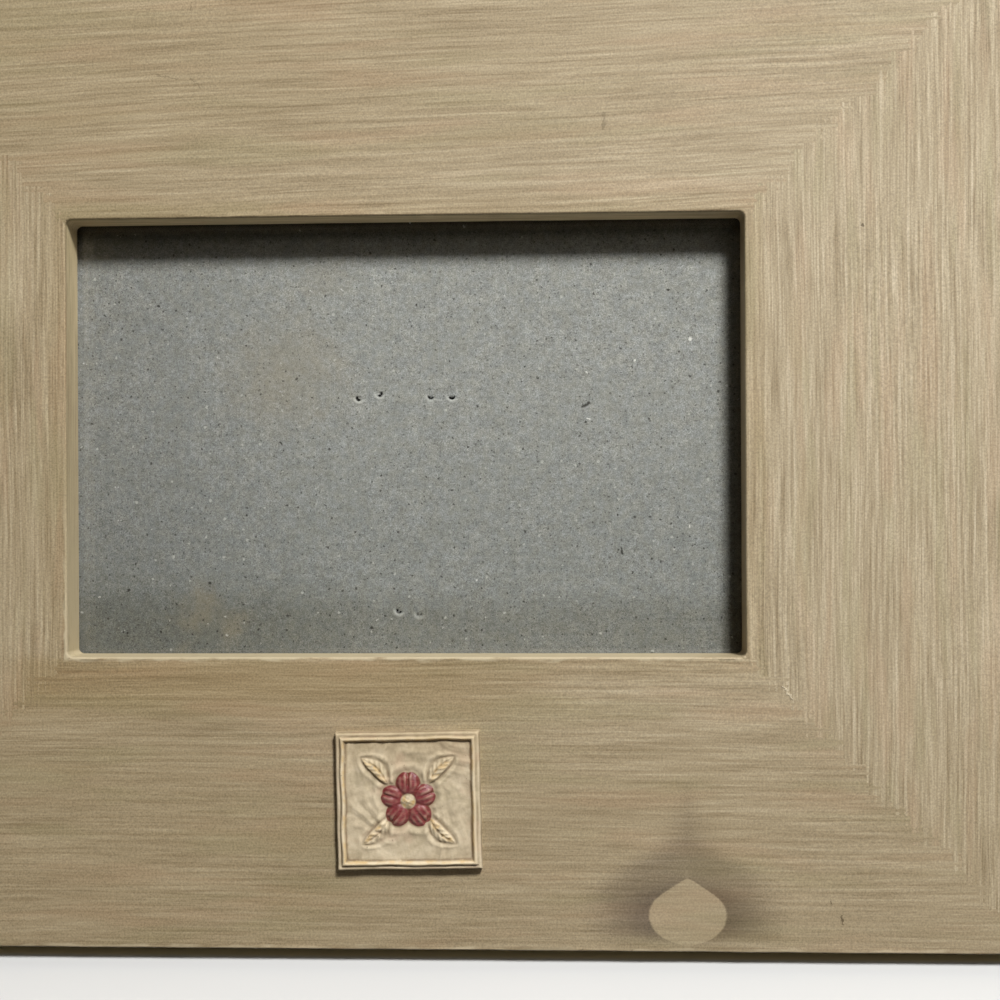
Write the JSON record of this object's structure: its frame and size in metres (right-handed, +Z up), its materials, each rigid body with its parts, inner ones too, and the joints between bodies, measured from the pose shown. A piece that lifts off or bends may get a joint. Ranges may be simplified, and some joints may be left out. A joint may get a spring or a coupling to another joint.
{
  "type": "photo frame",
  "caption": "Wide flat mitred photo frame with dragged paint, a small relief tile and glass, held by turn buttons and standing on a hinged easel leg stayed by a ribbon.",
  "frame": {"origin": "middle of the footprint, on the surface that the frame stands on", "axes": "+X to the right along the frame's width, +Y from the face to the back, +Z up"},
  "size_m": [0.264, 0.0752, 0.2084],
  "materials": {
    "dragged_paint": "taupe glaze dragged with a dry brush, satin",
    "nail_steel": "plain steel",
    "clear_glass": "clear polished",
    "chipboard": "bare grey board with fibres and specks",
    "black_paper": "matt embossed cover paper",
    "cast_relief": "cream cast relief, antiqued, with crimson petals",
    "button_steel": "zinc plated",
    "brass": "brass plated",
    "hinge_steel": "nickel plated",
    "staple_wire": "plain wire",
    "covered_board": "board covered with matt embossed paper",
    "ribbon": "black ribbed ribbon"
  },
  "bodies": {
    "frame": {"top_rail": "dragged_paint", "bottom_rail": "dragged_paint", "left_stile": "dragged_paint", "right_stile": "dragged_paint", "corner_v_nails": "nail_steel", "glazing": "clear_glass", "backing_board": "chipboard", "backing_paper": "black_paper", "ornament_tile": "cast_relief", "button_screws": "brass", "hinge_upper_leaf": "hinge_steel", "hinge_pin": "hinge_steel", "hinge_staples": "staple_wire", "board_ribbon_staple": "staple_wire", "stay_ribbon": "ribbon"},
    "leg": {"easel_leg": "covered_board", "hinge_lower_leaf": "hinge_steel", "leg_rivets": "brass", "leg_ribbon_staple": "staple_wire"},
    "top_left_button": {"top_left_turn_button": "button_steel"},
    "top_right_button": {"top_right_turn_button": "button_steel"},
    "bottom_left_button": {"bottom_left_turn_button": "button_steel"},
    "bottom_right_button": {"bottom_right_turn_button": "button_steel"}
  },
  "joints": [
    {"name": "leg_hinge", "type": "hinge", "parent": "frame", "child": "leg", "pos_m": [0, 0.00924, 0.10354], "axis": [1, 0, 0], "range_deg": [-30, 0], "deforming": ["stay_ribbon"]},
    {"name": "top_left_button_turn", "type": "hinge", "parent": "frame", "child": "top_left_button", "pos_m": [-0.05, 0.02419, 0.16066], "axis": [0, 0.9563, -0.2924], "continuous": true},
    {"name": "top_right_button_turn", "type": "hinge", "parent": "frame", "child": "top_right_button", "pos_m": [0.05, 0.02419, 0.16066], "axis": [0, 0.9563, -0.2924], "continuous": true},
    {"name": "bottom_left_button_turn", "type": "hinge", "parent": "frame", "child": "bottom_left_button", "pos_m": [-0.05, -0.01148, 0.04399], "axis": [0, 0.9563, -0.2924], "continuous": true},
    {"name": "bottom_right_button_turn", "type": "hinge", "parent": "frame", "child": "bottom_right_button", "pos_m": [0.05, -0.01148, 0.04399], "axis": [0, 0.9563, -0.2924], "continuous": true}
  ]
}
